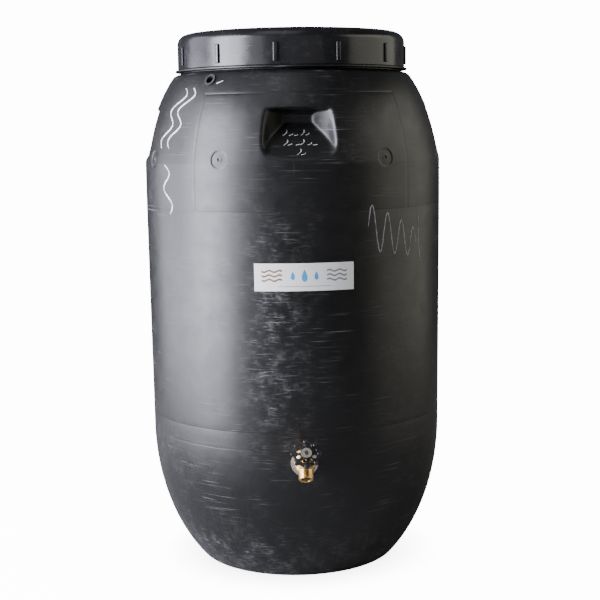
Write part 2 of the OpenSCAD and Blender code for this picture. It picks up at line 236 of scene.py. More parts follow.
def rounded_bar(size, radius, matrix):
    """Vertices and faces of a bar with rounded edges, placed by the matrix."""
    bm = bmesh.new()
    bmesh.ops.create_cube(bm, size=1, matrix=Matrix.Diagonal((*size, 1)))
    bmesh.ops.bevel(bm, geom=bm.edges[:] + bm.verts[:], offset=radius, segments=3, affect="EDGES",
                    profile=0.5)
    bm.transform(matrix)
    verts = [v.co.copy() for v in bm.verts]
    faces = [tuple(v.index for v in f.verts) for f in bm.faces]
    bm.free()
    return verts, faces


def joined(*shapes):
    """One list of vertices and faces from several."""
    verts, faces = [], []
    for more_verts, more_faces in shapes:
        base = len(verts)
        verts += [tuple(v) for v in more_verts]
        faces += [tuple(base + i for i in f) for f in more_faces]
    return verts, faces


def axis_matrix(origin, direction):
    """A frame whose Z runs along the direction, from the origin."""
    return Matrix.Translation(origin) @ Vector(direction).to_track_quat("Z", "Y").to_matrix().to_4x4()


def moved(shape, matrix):
    """Vertices and faces of a shape placed by the matrix."""
    verts, faces = shape
    return [matrix @ Vector(v) for v in verts], faces


def softened(node, name, voxel, smooth, sharp_angle=60):
    """A copy of a CAD node with its edges rounded off, as a casting's or a moulding's are."""
    obj = bpy.data.objects.new(name, NODES[node].data.copy())
    bpy.context.scene.collection.objects.link(obj)
    obj.data.materials.clear()
    remesh = obj.modifiers.new("remesh", "REMESH")
    remesh.mode = "VOXEL"
    remesh.voxel_size = voxel
    relax = obj.modifiers.new("relax", "SMOOTH")
    relax.factor = 0.5
    relax.iterations = smooth
    apply_modifiers(obj)
    finish_mesh(obj.data, sharp_angle)
    return obj


def apply_modifiers(obj):
    """Turns what the modifiers show into the object's own mesh."""
    bpy.context.view_layer.update()
    done = bpy.data.meshes.new_from_object(obj.evaluated_get(bpy.context.evaluated_depsgraph_get()))
    obj.modifiers.clear()
    obj.data = done


def place(obj, body, slot, material, *nodes):
    """Gives a piece its material and its body, and hides the CAD nodes it stands for. The slot argument is not
    used.
    """
    obj.data.materials.clear()
    obj.data.materials.append(material)
    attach(obj, body)
    if nodes:
        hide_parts(*nodes)
    return obj


# ---------------------------------------------------------------- materials

class Shader:
    """A material with one Principled shader, and short calls for the nodes that feed it."""

    def __init__(self, name, **sockets):
        """A new material, with the named sockets set to values."""
        self.material = bpy.data.materials.new(name)
        self.material.use_nodes = True
        self.tree = self.material.node_tree
        self.main = self.tree.nodes["Principled BSDF"]
        for key, value in sockets.items():
            self.main.inputs[key.replace("_", " ")].default_value = value
        self.place = self.tree.nodes.new("ShaderNodeTexCoord").outputs["Object"]

    def put(self, socket, value):
        """Links or sets one input."""
        if isinstance(value, bpy.types.NodeSocket):
            self.tree.links.new(value, socket)
        elif value is not None:
            socket.default_value = value

    def math(self, operation, a, b=None):
        """One math step on one or two values."""
        node = self.tree.nodes.new("ShaderNodeMath")
        node.operation = operation
        for socket, value in zip(node.inputs, (a, b)):
            self.put(socket, value)
        return node.outputs[0]

    def times(self, a, b):
        """The product of two values."""
        return self.math("MULTIPLY", a, b)

    def remap(self, value, low, high, to_low=0.0, to_high=1.0, smooth=True):
        """Maps low to high onto another range, with soft ends if smooth."""
        node = self.tree.nodes.new("ShaderNodeMapRange")
        node.interpolation_type = "SMOOTHSTEP" if smooth else "LINEAR"
        for key, number in (("Value", value), ("From Min", low), ("From Max", high),
                            ("To Min", to_low), ("To Max", to_high)):
            self.put(node.inputs[key], number)
        return node.outputs[0]

    def noise(self, vector, scale, detail=3.0, rough=0.5, distortion=0.0):
        """Fractal noise over the coordinates, about 0 to 1."""
        node = self.tree.nodes.new("ShaderNodeTexNoise")
        self.put(node.inputs["Vector"], vector)
        for key, number in (("Scale", scale), ("Detail", detail), ("Roughness", rough),
                            ("Distortion", distortion)):
            node.inputs[key].default_value = number
        return node.outputs[0]

    def stretched(self, vector, x, y, z):
        """Coordinates multiplied along each axis."""
        node = self.tree.nodes.new("ShaderNodeMapping")
        self.put(node.inputs["Vector"], vector)
        node.inputs["Scale"].default_value = (x, y, z)
        return node.outputs[0]

    def turned(self, vector, degrees):
        """Coordinates turned about Z."""
        node = self.tree.nodes.new("ShaderNodeMapping")
        self.put(node.inputs["Vector"], vector)
        node.inputs["Rotation"].default_value = (0, 0, math.radians(degrees))
        return node.outputs[0]

    def split(self, vector):
        """The three parts of the coordinates."""
        node = self.tree.nodes.new("ShaderNodeSeparateXYZ")
        self.put(node.inputs[0], vector)
        return node.outputs

    def mix(self, factor, a, b):
        """A colour between a and b."""
        node = self.tree.nodes.new("ShaderNodeMix")
        node.data_type = "RGBA"
        self.put(node.inputs["Factor"], factor)
        self.put(node.inputs["A"], a if isinstance(a, bpy.types.NodeSocket) else (*a, 1))
        self.put(node.inputs["B"], b if isinstance(b, bpy.types.NodeSocket) else (*b, 1))
        return node.outputs["Result"]

    def around(self):
        """Coordinates laid flat round the barrel: metres along the curve from the front, and height."""
        x, y, z = self.split(self.place)
        turn = self.math("ARCTAN2", x, self.times(y, -1.0))
        node = self.tree.nodes.new("ShaderNodeCombineXYZ")
        self.put(node.inputs["X"], self.times(turn, BARREL_R))
        self.put(node.inputs["Y"], z)
        return node.outputs[0]

    def bump(self, height, distance, strength=1.0, under=None):
        """A bumped normal, on top of another one if given."""
        node = self.tree.nodes.new("ShaderNodeBump")
        node.inputs["Distance"].default_value = distance
        node.inputs["Strength"].default_value = strength
        self.put(node.inputs["Height"], height)
        self.put(node.inputs["Normal"], under)
        return node.outputs[0]

    def color(self, value):
        """Sets the shader's colour."""
        self.put(self.main.inputs["Base Color"], value)

    def roughness(self, value):
        """Sets the shader's roughness."""
        self.put(self.main.inputs["Roughness"], value)

    def normal(self, value):
        """Sets the shader's normal."""
        self.put(self.main.inputs["Normal"], value)


def body_plastic():
    """Satin black polyethylene: scuffs and haze from handling, and the slight waves of blow moulding."""
    s = Shader("black_polyethylene", IOR=1.5)
    flat = s.around()
    wear = s.math("MAXIMUM", body_haze(s, flat), body_scratches(s, flat))
    cloud = s.remap(s.noise(flat, 4.0, 2.0), 0.3, 0.7)
    tone = s.mix(cloud, (0.0046, 0.0046, 0.0046), (0.0076, 0.0076, 0.0076))
    s.color(s.mix(wear, tone, (0.25, 0.25, 0.25)))
    gloss = s.remap(s.noise(flat, 30.0, 4.0, 0.6), 0.3, 0.7, 0.32, 0.42, False)
    s.roughness(s.math("ADD", gloss, s.times(wear, 0.6)))
    waves = s.bump(s.noise(flat, 11.0, 2.0, 0.45), 0.0016, 0.5)
    grain = s.bump(s.noise(flat, 1400.0, 2.0, 0.5), 0.00006, 0.6, waves)
    s.normal(s.bump(wear, 0.00006, 0.5, grain))
    return s.material


def body_haze(s, flat):
    """Chalky haze: worst on the front between the label and the spigot, and round the foot."""
    along, height, _ = s.split(flat)
    rubbed = s.times(s.remap(s.math("ABSOLUTE", s.math("ADD", along, 0.052)), 0.085, 0.015),
                    s.remap(s.math("ABSOLUTE", s.math("SUBTRACT", height, 0.48)), 0.30, 0.06))
    foot = s.times(s.remap(height, 0.13, 0.03), 0.8)
    patches = s.remap(s.noise(flat, 7.0, 4.0, 0.6), 0.44, 0.68)
    placed = s.math("ADD", s.times(rubbed, 0.75), foot)
    strength = s.math("ADD", s.times(patches, 0.30), placed)
    blots = s.remap(s.noise(flat, 55.0, 5.0, 0.7, 0.3), 0.44, 0.78)
    dashes = s.remap(s.noise(s.stretched(flat, 48, 300, 1), 1.0, 3.0, 0.6), 0.46, 0.80)
    cloud = s.math("MAXIMUM", s.times(blots, 0.55), dashes)
    clumps = s.remap(s.noise(flat, 24.0, 3.0, 0.6), 0.36, 0.66)
    return s.times(s.times(strength, clumps), s.times(cloud, 0.75))


def body_scratches(s, flat):
    """Long thin scratches round the body, a few slanting or upright ones, and dusty specks."""
    level = s.remap(s.noise(s.stretched(flat, 9, 420, 1), 1.0, 2.0, 0.6), 0.60, 0.72)
    bands = s.remap(s.noise(s.stretched(flat, 7, 16, 1), 1.0, 3.0, 0.55), 0.46, 0.64)
    level = s.times(level, bands)
    slant = s.remap(s.noise(s.stretched(s.turned(flat, 24), 10, 500, 1), 1.0, 2.0, 0.6), 0.70, 0.76)
    slant = s.times(slant, s.remap(s.noise(flat, 9.0, 2.0, 0.5), 0.55, 0.68))
    upright = s.remap(s.noise(s.stretched(flat, 380, 11, 1), 1.0, 2.0, 0.6), 0.62, 0.74)
    upright = s.times(upright, s.remap(s.noise(flat, 6.0, 2.0, 0.5), 0.50, 0.64))
    lines = s.math("MAXIMUM", level, s.times(slant, 0.4))
    lines = s.math("MAXIMUM", lines, s.times(upright, 0.35))
    specks = s.remap(s.noise(flat, 520.0, 2.0, 0.5), 0.70, 0.78)
    specks = s.times(specks, s.remap(s.noise(flat, 14.0, 3.0, 0.6), 0.44, 0.62))
    return s.math("MAXIMUM", s.times(lines, 0.42), s.times(specks, 0.55))


def lid_plastic():
    """Glossy black moulded plastic with faint dust, smears and rub marks."""
    s = Shader("gloss_black_plastic", IOR=1.5)
    flat = s.around()
    rubs = s.remap(s.noise(s.stretched(flat, 12, 300, 1), 1.0, 2.0, 0.6), 0.60, 0.72)
    zones = s.remap(s.noise(s.place, 16.0, 3.0, 0.6), 0.48, 0.68)
    rubs = s.times(rubs, zones)
    dust = s.remap(s.noise(s.place, 60.0, 5.0, 0.7), 0.50, 0.80)
    worn = s.times(s.math("MAXIMUM", rubs, dust), 0.10)
    s.color(s.mix(worn, (0.010, 0.010, 0.011), (0.20, 0.20, 0.20)))
    smears = s.remap(s.noise(s.place, 25.0, 4.0, 0.6), 0.35, 0.70, 0.17, 0.30, False)
    s.roughness(s.math("ADD", smears, s.times(rubs, 0.2)))
    s.normal(s.bump(s.noise(s.place, 26.0, 2.0, 0.5), 0.0008, 0.45))
    return s.material


def brass(name, cast):
    """Brass: rough and dull where it is cast, smoother and brighter where it is turned."""
    s = Shader(name, Metallic=1.0)
    stain = s.remap(s.noise(s.place, 90.0, 4.0, 0.6), 0.35, 0.72)
    s.color(s.mix(stain, (0.86, 0.62, 0.27), (0.60, 0.37, 0.13)))
    low, high = (0.34, 0.52) if cast else (0.20, 0.34)
    s.roughness(s.remap(s.noise(s.place, 240.0, 4.0, 0.6), 0.3, 0.7, low, high, False))
    grain = s.noise(s.place, 1500.0 if cast else 500.0, 3.0, 0.55)
    s.normal(s.bump(grain, 0.00022 if cast else 0.00004, 0.7))
    return s.material


def steel(name, tone):
    """Steel of the given tone, a little cloudy, with fine scratches."""
    s = Shader(name, Metallic=1.0)
    cloud = s.remap(s.noise(s.place, 120.0, 3.0, 0.6), 0.3, 0.7)
    s.color(s.mix(cloud, tone, tuple(c * 0.75 for c in tone)))
    s.roughness(s.remap(s.noise(s.place, 400.0, 4.0, 0.6), 0.3, 0.7, 0.22, 0.36, False))
    s.normal(s.bump(s.noise(s.stretched(s.place, 2400, 300, 2400), 1.0, 2.0), 0.00003, 0.5))
    return s.material


def mesh_wire():
    """Drawn stainless wire, a little dull."""
    s = Shader("woven_wire", Metallic=1.0)
    s.color(s.mix(s.remap(s.noise(s.place, 70.0, 3.0), 0.35, 0.7), (0.55, 0.56, 0.57), (0.34, 0.34, 0.33)))
    s.roughness(s.remap(s.noise(s.place, 300.0, 3.0), 0.3, 0.7, 0.3, 0.5, False))
    return s.material


def enamel():
    """Glossy black enamel on the cast handwheel, with small pale flecks that are partly chipped enamel and partly
    painted glints.
    """
    s = Shader("black_enamel", IOR=1.5, Coat_Weight=0.1, Coat_Roughness=0.10)
    # Pale flecks: partly chipped enamel, partly painted glints that stand in for the lobes' highlights.
    chips_and_glints = s.remap(s.noise(s.place, 420.0, 3.0, 0.6), 0.66, 0.70)
    s.color(s.mix(chips_and_glints, (0.006, 0.006, 0.007), (0.16, 0.15, 0.14)))
    s.roughness(s.remap(s.noise(s.place, 160.0, 3.0, 0.6), 0.3, 0.7, 0.13, 0.26, False))
    s.normal(s.bump(s.noise(s.place, 700.0, 3.0, 0.5), 0.00010, 0.5))
    return s.material


def rubber(name, tone):
    """Moulded rubber: matte, with a faint grain and bloom."""
    s = Shader(name, IOR=1.45)
    bloom = s.remap(s.noise(s.place, 45.0, 4.0, 0.6), 0.45, 0.75)
    s.color(s.mix(bloom, tone, tuple(c * 1.9 + 0.006 for c in tone)))
    s.roughness(s.remap(s.noise(s.place, 200.0, 3.0), 0.3, 0.7, 0.55, 0.72, False))
    s.normal(s.bump(s.noise(s.place, 1100.0, 2.0), 0.00006, 0.6))
    return s.material


def fibre():
    """Graphited fibre packing."""
    s = Shader("graphited_fibre")
    strands = s.noise(s.stretched(s.place, 900, 900, 2500), 1.0, 3.0)
    s.color(s.mix(strands, (0.06, 0.05, 0.045), (0.17, 0.15, 0.13)))
    s.roughness(s.remap(s.noise(s.place, 500.0), 0.3, 0.7, 0.75, 0.9, False))
    s.normal(s.bump(s.noise(s.place, 1800.0, 2.0), 0.0001, 0.8))
    return s.material


def vinyl(name, tone):
    """Printed vinyl: an even tone with a little grime and a satin gloss."""
    s = Shader(name, IOR=1.46)
    grime = s.remap(s.noise(s.place, 35.0, 5.0, 0.65), 0.50, 0.80)
    s.color(s.mix(s.times(grime, 0.28), tone, tuple(c * 0.62 for c in tone)))
    s.roughness(s.remap(s.noise(s.place, 80.0, 3.0), 0.3, 0.7, 0.34, 0.46, False))
    s.normal(s.bump(s.noise(s.place, 260.0, 2.0), 0.00005, 0.4))
    return s.material


def chalk(name, strength):
    """Waxy white marker that has skipped over the plastic's grain."""
    s = Shader(name)
    flat = s.around()
    skips = s.remap(s.noise(flat, 700.0, 3.0, 0.6), 0.34, 0.52)
    fades = s.remap(s.noise(flat, 45.0, 3.0, 0.6), 0.25, 0.55, 0.35, 1.0)
    cover = s.times(s.times(skips, fades), strength)
    s.color(s.mix(cover, (0.03, 0.03, 0.033), (0.83, 0.83, 0.84)))
    s.roughness(s.remap(skips, 0.0, 1.0, 0.5, 0.8, False))
    s.normal(s.bump(skips, 0.0001, 0.5))
    return s.material


# ---------------------------------------------------------------- the barrel's body

def body_radius(z):
    """Outer radius of the moulded body at height z, before the recesses and marks."""
    z = np.asarray(z, float)
    foot = FOOT_C[0] + FOOT_S[0] * np.sqrt(np.clip(1 - ((z - FOOT_C[1]) / FOOT_S[1]) ** 2, 0, 1))
    side = SIDE_R + (BARREL_R - SIDE_R) * np.clip((z - FOOT_C[1]) / (SEAM_Z - FOOT_C[1]), 0, 1)
    rise = np.clip((z - SHOULDER_C[1]) / SHOULDER_S[1], 0, 1)
    shoulder = SHOULDER_C[0] + SHOULDER_S[0] * np.sqrt(1 - rise ** 2)
    return np.where(z < FOOT_C[1], foot, np.where(z < SHOULDER_Z, side, np.minimum(shoulder, BARREL_R)))


class Recess:
    """Depth of a hand recess over direction and height, softened as moulded plastic is."""

    STEP_A, STEP_Z = math.radians(0.25), 0.001
    LOW_A, LOW_Z = math.radians(-17), 0.776
    COUNT_A, COUNT_Z = 137, 136
    CARVE, CARVES = 0.0005, 150
    BLUR_REACH, BLUR_WIDTH = 8, 2.5

    def __init__(self):
        """Carves the body's surface inwards in small steps while it lies outside the back and the sides."""
        a = self.LOW_A + self.STEP_A * np.arange(self.COUNT_A)
        z = self.LOW_Z + self.STEP_Z * np.arange(self.COUNT_Z)
        a, z = np.meshgrid(a, z, indexing="ij")
        levels = [RECESS_BOTTOM, RECESS_LOW_BACK, RECESS_HIGH_BACK, RECESS_TOP, RECESS_TOP + 0.003]
        back = np.interp(z, levels, [BARREL_R, RECESS_BACK, RECESS_BACK, RECESS_BACK + 0.010, BARREL_R])
        narrower = 0.009 * (1 - smoothstep(z, RECESS_BOTTOM - 0.004, RECESS_BOTTOM + 0.030))
        surface = body_radius(z)
        radius = surface.copy()
        widths = [RECESS_HALF - 0.038, RECESS_HALF - 0.005, RECESS_HALF, RECESS_HALF + 0.0005]
        sides = [RECESS_BACK, RECESS_BACK + 0.034, RECESS_BACK + 0.052, BARREL_R + 0.01]
        for _ in range(self.CARVES):
            side = np.interp(np.abs(radius * np.sin(a)) + narrower, widths, sides)
            inside = radius * np.cos(a) > np.maximum(back, side)
            radius = np.where(inside, radius - self.CARVE, radius)
        self.depth = self.blurred(surface - radius)

    def blurred(self, field):
        """The field smoothed along both its axes."""
        reach = self.BLUR_REACH
        kernel = np.exp(-0.5 * (np.arange(-reach, reach + 1) / self.BLUR_WIDTH) ** 2)
        kernel /= kernel.sum()
        for axis in (0, 1):
            field = np.apply_along_axis(lambda row: np.convolve(row, kernel, "same"), axis, field)
        return field

    def __call__(self, a, z):
        """Depth below the body's surface at direction a, in radians from the front, and height z."""
        quarter = math.pi / 2
        a = (a + quarter / 2) % quarter - quarter / 2
        i = (a - self.LOW_A) / self.STEP_A
        j = (z - self.LOW_Z) / self.STEP_Z
        valid = (i >= 0) & (i < self.COUNT_A - 1) & (j >= 0) & (j < self.COUNT_Z - 1)
        i, j = np.clip(i, 0, self.COUNT_A - 1.001), np.clip(j, 0, self.COUNT_Z - 1.001)
        i0, j0 = i.astype(int), j.astype(int)
        u, v = i - i0, j - j0
        d = self.depth
        low = d[i0, j0] * (1 - u) + d[i0 + 1, j0] * u
        high = d[i0, j0 + 1] * (1 - u) + d[i0 + 1, j0 + 1] * u
        return np.where(valid, low * (1 - v) + high * v, 0)


def mark_azimuths():
    """Directions of all the round mould marks, in radians."""
    return [math.radians(side + a) for side in (0, 180) for a in MARK_AZIMUTHS]


def wrapped(a):
    """The direction between minus and plus half a turn."""
    return (a + math.pi) % TURN - math.pi


def small_relief(a, z):
    """Depth of the round mould marks, the seams and the insert's outline."""
    depth = np.zeros_like(a)
    for centre in mark_azimuths():
        out = np.hypot(BARREL_R * wrapped(a - centre), z - MARK_Z)
        disc = 1.2 * (1 - smoothstep(out, MARK_R - 0.0012, MARK_R))
        collar = -0.5 * (1 - smoothstep(np.abs(out - 0.0045), 0.0006, 0.0016))
        dimple = 1.0 * (1 - smoothstep(out, 0.0015, 0.0030))
        depth += (disc + collar + dimple) * MM
    for seam, deep in ((SEAM_Z, 0.40), (LOW_SEAMS_Z[0], 0.14), (LOW_SEAMS_Z[1], 0.15)):
        depth += deep * MM * np.exp(-((z - seam) / GROOVE_W) ** 2)
    edge, turned = math.radians(PANEL_AZIMUTH), a - math.radians(MOULD_TURN)
    front = np.minimum(np.abs(wrapped(turned)), np.abs(wrapped(turned - math.pi)))
    in_width = front < edge + 0.002
    in_height = (z > SEAM_Z) & (z < PANEL_Z + 0.001)
    depth += np.where(in_height, 0.5 * MM * np.exp(-((front - edge) * BARREL_R / GROOVE_W) ** 2), 0)
    depth += np.where(in_width, 0.4 * MM * np.exp(-((z - PANEL_Z) / GROOVE_W) ** 2), 0)
    return depth


RECESS_DEPTH = Recess()


def surface_radius(a, z):
    """Outer radius of the finished body at direction a (radians from the front) and height z."""
    return body_radius(z) - RECESS_DEPTH(a, z) - small_relief(a, z)


def body_columns():
    """Directions of the mesh's columns, closer together at recesses, marks, the overflow and the insert."""
    groups = [np.arange(-180, 180, 1.5)]
    groups += [np.arange(c - 14.8, c + 14.8, 0.4) for c in (-180, -90, 0, 90)]
    groups += [np.arange(c - 4.0, c + 4.0, 0.25) for c in np.degrees(mark_azimuths())]
    groups += [np.arange(-48.0, -34.0, 0.5)]
    edges = [side + turn + MOULD_TURN for side in (0, 180) for turn in (-PANEL_AZIMUTH, PANEL_AZIMUTH)]
    groups += [np.array([-0.4, -0.2, 0, 0.2, 0.4]) + edge for edge in edges]
    degrees = (np.concatenate(groups) + 180) % 360 - 180
    degrees = np.unique(np.round(degrees, 2))
    keep = np.concatenate([[True], np.diff(degrees) > 0.12])
    return np.radians(degrees[keep])


def body_heights():
    """Heights of the mesh's rows between the foot and the crown."""
    grooves = [seam + step for seam in (*LOW_SEAMS_Z, SEAM_Z, PANEL_Z)
               for step in (-0.0018, -0.0008, 0, 0.0008, 0.0018)]
    groups = [np.arange(0.012, 0.222, 0.007), np.arange(0.225, 0.276, 0.0035),
              np.arange(0.285, FINE_LOW, 0.030), np.arange(FINE_LOW + 0.001, FINE_HIGH, 0.0016),
              np.arange(0.910, 0.925, 0.006), np.arange(0.927, 0.9515, 0.002), grooves]
    heights = np.unique(np.round(np.concatenate(groups), 5))
    keep = np.concatenate([[True], np.diff(heights) > 0.0006])
    return heights[keep]


def crown():
    """Centre of the rounding at the top of the shoulder, and the direction in degrees where it starts."""
    rise = math.asin((SHOULDER_END - SHOULDER_C[1]) / SHOULDER_S[1])
    slope = math.atan2(math.sin(rise) / SHOULDER_S[1], math.cos(rise) / SHOULDER_S[0])
    edge = (SHOULDER_C[0] + SHOULDER_S[0] * math.cos(rise), SHOULDER_END)
    return (edge[0] - CROWN_R * math.cos(slope), edge[1] - CROWN_R * math.sin(slope)), math.degrees(slope)


def foot_corner():
    """Centre and radius of the rounding from base to foot, and the direction in degrees where it ends."""
    end = math.radians(FOOT_END)
    normal = Vector((FOOT_S[1] * math.cos(end), FOOT_S[0] * math.sin(end))).normalized()
    edge = arc(FOOT_C, FOOT_S, FOOT_END, FOOT_END, 1)[0]
    radius = edge[1] / (1 + normal.y)
    return (edge[0] - radius * normal.x, radius), radius, math.degrees(math.asin(normal.y))


def neck_outline():
    """Points from the crown over the stop ring and the neck's edge to the inside of the crown."""
    crown_c, crown_turn = crown()
    upright = rounded([(NECK_R + 0.003, RING_Z - 0.0025), (NECK_R + 0.003, RING_Z), (RING_R, RING_Z),
                       (RING_R, RING_Z + RING_T), (NECK_R, RING_Z + RING_T), (NECK_R, NECK_TOP),
                       (MOUTH_R, NECK_TOP), (MOUTH_R, RING_Z - 0.004)], 0.0012, 3)
    return (arc(crown_c, (CROWN_R, CROWN_R), crown_turn, 80, 6) + upright
            + arc(crown_c, (CROWN_R - WALL, CROWN_R - WALL), 80, crown_turn, 5))


def body_rows(columns):
    """Pairs of radius and height from the base up the outside, over the neck and down the inside."""
    heights = body_heights()
    corner_c, corner, turn = foot_corner()
    below = [(r, 0) for r in BASE_RINGS] + arc(corner_c, (corner, corner), -90, turn, 12)
    rows = [(np.full_like(columns, r), z) for r, z in below]
    rows += [(surface_radius(columns, np.full_like(columns, z)), z) for z in heights]
    rows += [(np.full_like(columns, r), z) for r, z in neck_outline()]
    inner_z = [z for z in heights if z < FINE_LOW or z > FINE_HIGH]
    inner_z += list(np.arange(FINE_LOW + 0.002, FINE_HIGH, 0.0032))
    for z in sorted(inner_z, reverse=True):
        level = np.full_like(columns, z)
        rows.append((body_radius(level) - WALL - RECESS_DEPTH(columns, level), z))
    base = arc(corner_c, (corner - WALL, corner - WALL), turn, -90, 8)
    base += [(r, INSIDE_FLOOR_Z) for r in reversed(BASE_RINGS)]
    return rows + [(np.full_like(columns, r), z) for r, z in base]


def barrel_shape():
    """Vertices and faces of the body: outside, neck and inside in one closed skin with its two holes."""
    columns = body_columns()
    rows = body_rows(columns)
    verts = np.concatenate([np.stack([r * np.sin(columns), -r * np.cos(columns), np.full_like(columns, z)], 1)
                            for r, z in rows])
    count = len(columns)
    caps = [tuple(range(count)), tuple(range(len(verts) - count, len(verts)))]
    return verts, without_holes(verts, ring_faces(len(rows), count)) + caps


def without_holes(verts, faces):
    """Leaves out the faces over the spigot's hole and the overflow's, whose edges lie under the seals."""
    holes = [(Vector((0, -BARREL_R, SPIGOT_Z)), Vector((0, -1, 0)), SPIGOT_HOLE_R),
             (Vector(OVERFLOW["pos_m"]), Vector(OVERFLOW["axis"]).normalized(), OVERFLOW_HOLE_R)]
    corners = verts[np.array(faces)].mean(1)
    keep = np.ones(len(faces), bool)
    for centre, axis, radius in holes:
        offset = corners - np.array(centre)
        depth = offset @ np.array(axis)
        across = np.linalg.norm(offset - depth[:, None] * np.array(axis), axis=1)
        keep &= ~((across < radius) & (np.abs(depth) < 0.03))
    return [f for f, k in zip(faces, keep) if k]


def build_body(plastic):
    """The drum with its recesses, mould marks, neck and thread."""
    neck_thread = ridge(NECK_R - 0.001, NECK_THREAD_R, THREAD_ROOT_W, THREAD_TIP_W, THREAD_LEAD, THREAD_TURNS,
                        NECK_THREAD_Z)
    shape = joined(barrel_shape(), neck_thread)
    place(make_object("barrel_shell", *shape, sharp_angle=50), "barrel", "black_hdpe", plastic, "barrel_body")


# ---------------------------------------------------------------- marks drawn on the barrel

def on_surface(azimuth, z, lift):
    """A point at lift above the body's surface. azimuth is in degrees from the front."""
    a = np.radians(azimuth)
    r = surface_radius(np.atleast_1d(a), np.atleast_1d(float(z)))[0] + lift
    return Vector((r * math.sin(a), -r * math.cos(a), z))


def stroke(points, width, lift=0.00035):
    """A thin raised ribbon along (azimuth, height) points on the body, narrower at its ends."""
    centre = [on_surface(a, z, lift) for a, z in points]
    verts = []
    last = len(centre) - 1
    for i, p in enumerate(centre):
        ahead = (centre[min(i + 1, last)] - centre[max(i - 1, 0)]).normalized()
        out = Vector((p.x, p.y, 0)).normalized()
        side = ahead.cross(out).normalized()
        half = width / 2 * (0.45 + 0.55 * min(1, min(i, last - i) / 3)) * (1 + 0.18 * math.sin(i * 1.7))
        sunk = out * STROKE_DEPTH
        verts += [p + side * half - sunk, p + side * half * 0.9,
                  p - side * half * 0.9, p - side * half - sunk]
    return verts, ring_faces(last + 1, 4) + end_caps(last + 1, 4)


def waving(start, end, wide, tall, turns, steps):
    """A pen line from start to end that waves by wide degrees and tall metres, and less towards its end."""
    points = []
    for i in range(steps + 1):
        t = i / steps
        swing = math.sin(TURN * turns * t) * (0.5 - 0.2 * t)
        points.append((start[0] + (end[0] - start[0]) * t + wide * swing,
                       start[1] + (end[1] - start[1]) * t + tall * swing))
    return points


def line(start, end, bend=0.0, steps=14):
    """A pen line from start to end that bows sideways by bend degrees."""
    return [(start[0] + (end[0] - start[0]) * i / steps + bend * math.sin(math.pi * i / steps),
             start[1] + (end[1] - start[1]) * i / steps) for i in range(steps + 1)]


def inked(name, shapes, material):
    """One piece of ink or marker on the barrel from several shapes."""
    place(make_object(name, *joined(*shapes)), "barrel", "label_vinyl", material)


def build_marks():
    """Waves, a scribble and dabs of marker, which stand for the writing on the real drum, and a short white stroke
    by the overflow hole that is a painted highlight on its burr.
    """
    bold_marker_and_highlight = chalk("white_marker_and_painted_highlight", 1.0)
    faint = chalk("faint_marker", 0.55)
    left = [stroke(waving((-55.0, 0.930), (-61.5, 0.820), 7.0, 0.0, 2.0, 90), 0.0036),
            stroke(waving((-49.5, 0.930), (-56.0, 0.820), 7.0, 0.0, 2.0, 90), 0.0036),
            stroke(waving((-58.0, 0.790), (-54.5, 0.700), 6.0, 0.0, 1.5, 60), 0.0036),
            # Painted highlight: this short white stroke right of the overflow hole stands for the light on the
            # hole's burr, not for marker.
            stroke(line((-36.8, 0.9365), (-33.6, 0.9415), 0.2, 6), 0.0022)]
    inked("marker_waves_and_painted_highlight_left", left, bold_marker_and_highlight)
    right = [stroke(waving((25.0, 0.676), (49.0, 0.640), 0.0, 0.085, 3.5, 180), 0.0018),
             stroke(line((51.0, 0.690), (52.5, 0.604), -1.0), 0.0016)]
    inked("marker_lines_right", right, faint)
    dabs = []
    for row, (z, count) in enumerate([(0.846, 5), (0.829, 6), (0.812, 2)]):
        for i in range(count):
            a = -6.5 + 2.4 * i + (5.0 if count == 2 else 0) + 0.5 * math.sin(3 * i + row)
            dabs.append(stroke(line((a, z - 0.005), (a + 1.5, z + 0.005 * math.cos(2 * i)), 0.7, 8), 0.0020))
    inked("marker_dabs_front", dabs, bold_marker_and_highlight)


def build_label():
    """The sticker keeps its CAD shape. Its plain print is a row of drops between two sets of ripples."""
    assign("label", vinyl("label_white", (0.80, 0.80, 0.77)))
    low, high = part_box("label")[0].z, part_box("label")[1].z
    middle = (low + high) / 2
    drops = [drop_shape(LABEL_AZIMUTH + step, middle + 0.003, size)
             for step, size in ((-4.2, 0.8), (0, 1.15), (4.2, 0.8))]
    inked("label_drops", drops, vinyl("ink_blue", (0.05, 0.30, 0.58)))
    for name, side, tone in (("brown", -1, (0.23, 0.13, 0.07)), ("grey", 1, (0.23, 0.24, 0.26))):
        waves = [label_line(LABEL_AZIMUTH + side * 8.0, LABEL_AZIMUTH + side * 15.4, middle + lift, 0.0032)
                 for lift in (0.011, 0.003, -0.005)]
        inked("label_ripples_" + name, waves, vinyl("ink_" + name, tone))
    rule = label_line(LABEL_AZIMUTH - 9.5, LABEL_AZIMUTH + 9.5, low + 0.0085, 0.0012, 0.0)
    inked("label_rule", [rule], vinyl("ink_pale", (0.35, 0.36, 0.38)))


def label_point(azimuth, z):
    """A point of ink on the label. azimuth is in degrees from the front."""
    a = math.radians(azimuth)
    r = float(body_radius(z)) + LABEL_LIFT
    return Vector((r * math.sin(a), -r * math.cos(a), z))


def label_line(start, end, z, width, wave=0.0016):
    """A printed band across the label that ripples by wave."""
    verts = []
    steps = 48
    for i in range(steps + 1):
        a = start + (end - start) * i / steps
        mid = z + wave * math.sin(TURN * 2 * i / steps)
        verts += [label_point(a, mid - width / 2), label_point(a, mid + width / 2)]
    faces = [(2 * i, 2 * i + 2, 2 * i + 3, 2 * i + 1) for i in range(steps)]
    return verts, faces


